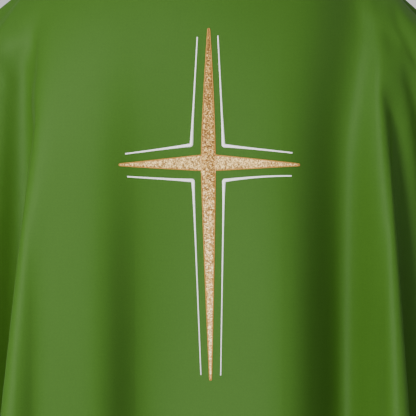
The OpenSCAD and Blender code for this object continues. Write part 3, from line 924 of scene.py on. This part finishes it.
def collar_section(half, wall, low, high):
    """A folded strip: up the outer face, round the top fold and down the inner face, then back inside."""
    turn = np.linspace(0, math.pi, 11)
    fold = high - half * 1.15
    up_face = [(half * (0.62 + 0.38 * s), low + (fold - low) * s) for s in np.linspace(0, 1, 12)]
    over = [(half * math.cos(a), fold + half * 1.15 * math.sin(a)) for a in turn[1:-1]]
    down_face = [(-x, y) for x, y in up_face[::-1]]
    outer = up_face + over + down_face
    thin = half - wall
    inner = [(x * thin / half, y - (wall if y > fold else 0)) for x, y in outer[::-1]]
    return outer + inner


def collar():
    piece = swept_ring("roll_collar", collar_section(0.0042, 0.0008, -0.0015, COLLAR_HEIGHT), "cloth", "collar")
    swept_ring("collar_stiffener", [(0.0011, 0.002), (0.0011, 0.026), (-0.0011, 0.026), (-0.0011, 0.002)],
               "backing", "collar_interlining")
    return piece


def neck_stitching():
    """Stitches round the foot of the collar."""
    _, ring, out = neck_ring()
    path = ring + out * 0.0033 + np.array([0, 0, 0.0035])
    path = np.concatenate([path, path[:1]])
    places = np.linspace(0, 1, RING + 1)

    def at(share):
        return np.stack([np.interp(share % 1, places, path[:, k]) for k in range(3)], -1)

    share = walk(path)
    along = unit(at(share + 0.002) - at(share - 0.002))
    row = stitches("neck_stitches", at(share), along, unit(np.cross(along, [0, 0, 1])), STITCH_PITCH * 0.8)
    return finish_piece(row, "thread", "neck_stitching")


# ---- embroidery
def front_place(x, z):
    """Flat place of the front cloth whose draped point is seen at x, z, found in steps along the cloth's slope."""
    u, w = x.copy(), -z.copy() + 0.02
    step = 0.001
    for _ in range(12):
        p = surface(FRONT, u, w)
        du = (surface(FRONT, u + step, w) - p) / step
        dw = (surface(FRONT, u, w + step) - p) / step
        ex, ez = x - p[..., 0], z - p[..., 2]
        det = du[..., 0] * dw[..., 2] - dw[..., 0] * du[..., 2]
        u = u + np.clip((ex * dw[..., 2] - ez * dw[..., 0]) / det, -0.05, 0.05)
        w = w + np.clip((ez * du[..., 0] - ex * du[..., 2]) / det, -0.05, 0.05)
    return u, w


def motif(x, z):
    """Flat place of a motif point given in millimetres from the crossing."""
    lean = np.where(z > 0, LEAN_UP * z, -LEAN_DOWN * z)
    return front_place((x + lean) / 1000, CROSSING.z + z / 1000)


def arm_middle(along, hand):
    """Height of an arm's middle line, which drops towards the tip."""
    return ARM_LIFT - ARM_DROOP * along / ARM[hand]


def stitched(name, x, z, height, flat):
    """A raised area of stitches. height is its rise above the cloth at each point."""
    u, w = motif(x, z)
    top = off_cloth(FRONT, u, w, CLOTH / 2 + height)
    base = off_cloth(FRONT, u, w, np.full(u.shape, CLOTH / 2 - 0.0003))
    return shell(name, top, base, flat / 1000)


def taper(share, power, widest):
    return TIP_HALF + (widest - TIP_HALF) * (1 - np.clip(share, 0, 1) ** power)


def round_tip(half, left):
    """Rounds the tip of an area. left is how far away the tip still is."""
    near = np.clip(left, 0, TIP_HALF)
    return np.where(left < TIP_HALF, np.minimum(half, np.sqrt(near * (2 * TIP_HALF - near))), half)


def spar_half(z):
    """Half width of the upright at a height."""
    half = np.where(z > 0, taper(z / ABOVE, 1.5, SPAR_HALF), taper(-z / BELOW, 1.25, SPAR_HALF))
    return round_tip(half, np.where(z > 0, ABOVE - z, BELOW + z))


def arm_half(along, hand):
    """Half width of an arm at a distance from the crossing."""
    return round_tip(taper(along / ARM[hand], 1.05, ARM_HALF), ARM[hand] - along)


def dome(v, height):
    """Height of a raised area at v, from -1 to 1 across it."""
    return height * (1 - 0.55 * np.abs(v) ** 6) * np.clip((1.02 - np.abs(v)) / 0.04, 0.15, 1)


def stitch_relief(v, along, height):
    """Height of a gold area at v, from -1 to 1 across it, with its rows of stitches."""
    rows = 0.00010 * np.sin(along * 2 * math.pi / 2.4 + np.round(v * 6) * 2.1)
    return dome(v, height) + rows * (np.abs(v) < 0.97)


def gold_half(half):
    return np.maximum(half - EDGE * 0.9, 0.25)


def gold_upright():
    z = np.linspace(-BELOW + 2, ABOVE - 2, 900)[:, None]
    v = np.linspace(-1, 1, 29)[None]
    x, z = np.broadcast_arrays(v * gold_half(spar_half(z)), z)
    area = stitched("gold_upright_fill", x, z, stitch_relief(v, z, 0.0010), np.stack([x, z], -1))
    return finish_piece(area, "gold_upright", "gold_upright")


def gold_arm(word):
    hand = HANDS[word]
    along = np.linspace(SPAR_HALF - 0.2, ARM[hand] - 2, 300)[:, None]
    v = np.linspace(-1, 1, 33)[None]
    half = gold_half(arm_half(along, hand))
    x, z = np.broadcast_arrays(hand * along, v * half + arm_middle(along, hand))
    area = stitched(f"gold_{word}_arm_fill", x, z, stitch_relief(v, x, 0.0008), np.stack([z, x], -1))
    return finish_piece(area, "gold_arms", f"gold_arm_{word}")


def satin(name, points, half, height, pitch, power):
    """A satin-stitched line along points, with a half width and a height at each: threads cross it side by side,
    one every pitch. A higher power makes its top narrower."""
    length = lengths(points)
    count = int(length[-1] / (pitch / 4)) + 1
    place = np.linspace(0, length[-1], count)
    path = np.stack([np.interp(place, length, points[:, k]) for k in range(2)], -1)
    width = np.interp(place, length, half)
    height = np.interp(place, length, height)[:, None]
    along = unit(np.gradient(path, axis=0))
    turned = np.stack([-along[:, 1], along[:, 0]], -1)
    v = np.linspace(-1, 1, 9)[None]
    thread = place[:, None] * 2 * math.pi / pitch
    ridge = 1 + 0.13 * np.cos(thread)
    ends = np.clip(np.minimum(place, length[-1] - place) / 1.2, 0.1, 1)[:, None] ** 0.5
    rise = height * np.clip(1 - 0.93 * v * v, 0, 1) ** power * ridge * ends
    ragged = 1 + 0.03 * np.cos(thread + 0.8)
    across = v * width[:, None]
    x = path[:, :1] + turned[:, :1] * across * ragged
    z = path[:, 1:] + turned[:, 1:] * across * ragged
    flat = np.stack(np.broadcast_arrays(across, place[:, None]), -1)
    return stitched(name, x, z, rise, flat)


def edge_pair(name, along, half, place, node):
    """The two satin edges of a gold area, on both sides of its middle line."""
    middle = np.maximum(half - EDGE / 2, EDGE * 0.3)
    width = np.full(len(along), EDGE / 2)
    rise = np.full(len(along), EDGE_RISE)
    parts = [satin("edge", place(along, way * middle), width, rise, EDGE_PITCH, 0.5) for way in (-1, 1)]
    return finish_piece(joined(parts, name), "gold_edge", node)


def upright_edge():
    z = (ABOVE - BELOW) / 2 + (ABOVE + BELOW) / 2 * np.sin(np.linspace(-math.pi / 2, math.pi / 2, 600))

    def place(a, b):
        return np.stack([b, a], -1)

    edge = edge_pair("gold_upright_satin", z, spar_half(z), place, "gold_upright_edge")
    edge.data.materials[0] = MATERIALS["gold_upright_edge"]
    return edge


def arm_edge(word):
    hand = HANDS[word]
    along = SPAR_HALF + 0.4 + (ARM[hand] - SPAR_HALF - 0.4) * np.sin(np.linspace(0, math.pi / 2, 300))

    def place(a, b):
        return np.stack([hand * a, b + arm_middle(a, hand)], -1)

    return edge_pair(f"gold_{word}_arm_satin", along, arm_half(along, hand), place, f"gold_arm_edge_{word}")


def rounded_corner(start, corner, end, bow):
    """A bent line with a small rounding at its corner. Its outer part bows upwards."""
    start, corner, end = (np.array(p, float) for p in (start, corner, end))
    into, out = corner - start, end - corner
    a = corner - unit(into) * CORNER_RADIUS
    b = corner + unit(out) * CORNER_RADIUS
    turn = np.linspace(0, 1, 9)[:, None]
    bend = (1 - turn) ** 2 * a + 2 * turn * (1 - turn) * corner + turn ** 2 * b
    first = start + (a - start) * np.linspace(0, 1, 60, endpoint=False)[:, None]
    share = np.linspace(0, 1, 61)[1:, None]
    last = b + (end - b) * share + np.array([0, 4 * bow]) * share * (1 - share)
    return np.concatenate([first, bend, last])


def silver_line(name):
    """A bent line, widest at its corner and thin at both ends."""
    path = rounded_corner(*SILVER_LINES[name])
    distance = np.linalg.norm(path - np.array(SILVER_LINES[name][1]), axis=1)
    half = 0.55 + 1.25 * np.exp(-distance / 26) + 0.8 * np.exp(-distance / 160)
    return finish_piece(satin(name + "_satin", path, half, 0.0007 * half, 0.9, 1.0), "silver", name)


# The stabiliser's parts: from and to across, from and to upwards, columns and rows
BACKING_PARTS = [
    (-32, 32, -BELOW - 8, ABOVE + 8, 9, 90),
    (-ARM[-1], -32.5, -30, 34, 40, 12),
    (32.5, ARM[1], -30, 34, 40, 12),
]


def backing():
    parts = []
    for x_low, x_high, z_low, z_high, columns, rows in BACKING_PARTS:
        x, z = np.meshgrid(np.linspace(x_low, x_high, columns), np.linspace(z_low, z_high, rows))
        parts.append(inner_layer("part", FRONT, *motif(x, z)))
    return finish_piece(joined(parts, "non_woven_backing"), "backing", "embroidery_backing")


# ---- small pieces inside the back neck
LOOP_START, LOOP_SAG = 0.018, 0.016  # below the neckline, and deeper in its middle
LABEL_START, LABEL_LENGTH = 0.040, 0.042


def back_layer(name, u, w, top, base):
    """A small piece inside the back, between two distances from the cloth's middle."""
    return shell(name, off_cloth(BACK, u, w, top), off_cloth(BACK, u, w, base), np.stack([u, w], -1))


def hanging_loop():
    """A flat loop, 6 mm wide, that stands a little off the facing in its middle."""
    low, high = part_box("hanging_loop")
    share, across = np.meshgrid(np.linspace(-1, 1, 41), np.linspace(-1, 1, 5))
    u = share * (high.x - low.x) / 2
    w = float(neck_at(0, BACK)) + LOOP_START + LOOP_SAG * (1 - share ** 2) + across * 0.003
    lift = 0.0015 * (1 - share ** 4)
    base, top = inside(1)
    obj = back_layer("neck_loop", u, w, top - 0.0003 - lift, base - 0.0006 - lift)
    return finish_piece(obj, "facing", "hanging_loop")


def care_label():
    """A blank label whose lower end curls off the facing."""
    low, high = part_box("care_label")
    start = float(neck_at(0, BACK)) + LABEL_START
    u, w = np.meshgrid(np.linspace(low.x, high.x, 13), np.linspace(start, start + LABEL_LENGTH, 17))
    curl = 0.0015 * smooth_step((w - start - 0.01) / 0.032)
    base, top = inside(1)
    obj = back_layer("blank_label", u, w, top - curl, base - curl + 0.0001)
    return finish_piece(obj, "label", "care_label")


# ---- the scene
FLOOR_HALF, FLOOR_HEIGHT = 6, -1.5


def add_floor():
    corners = [(x * FLOOR_HALF, y * FLOOR_HALF, FLOOR_HEIGHT) for x, y in ((-1, -1), (1, -1), (1, 1), (-1, 1))]
    obj = new_object("floor", corners, [[0, 1, 2, 3]])
    n = Nodes("pale_floor")
    coords = n.add("ShaderNodeTexCoord").outputs["Object"]
    grain = n.noise(coords, 30.0, 4.0, 0.6)
    colour = n.ramp(grain, [(0.3, (0.78, 0.78, 0.77)), (0.7, (0.82, 0.82, 0.81))])
    obj.data.materials.append(n.finish(colour, n.spread(grain, 0.6, 0.7), n.bump(grain, 0.0005, 0.2)))


add_camera()
add_lights()
add_floor()
MATERIALS = make_materials()
DRAPE = drape()

panels = {word: panel(word) for word in SIDES}
trims = {word: [hem_turnup(word), hem_stitching(word), neck_facing(word)] for word in SIDES}
trims["back"] += [seam_allowance(word) for word in HANDS]
neck_roll = collar()
trims["front"] += [neck_stitching(), gold_upright(), upright_edge(), backing()]
for word in HANDS:
    trims["front"] += [gold_arm(word), arm_edge(word)]
trims["front"] += [silver_line(name) for name in SILVER_LINES]
trims["back"] += [hanging_loop(), care_label()]
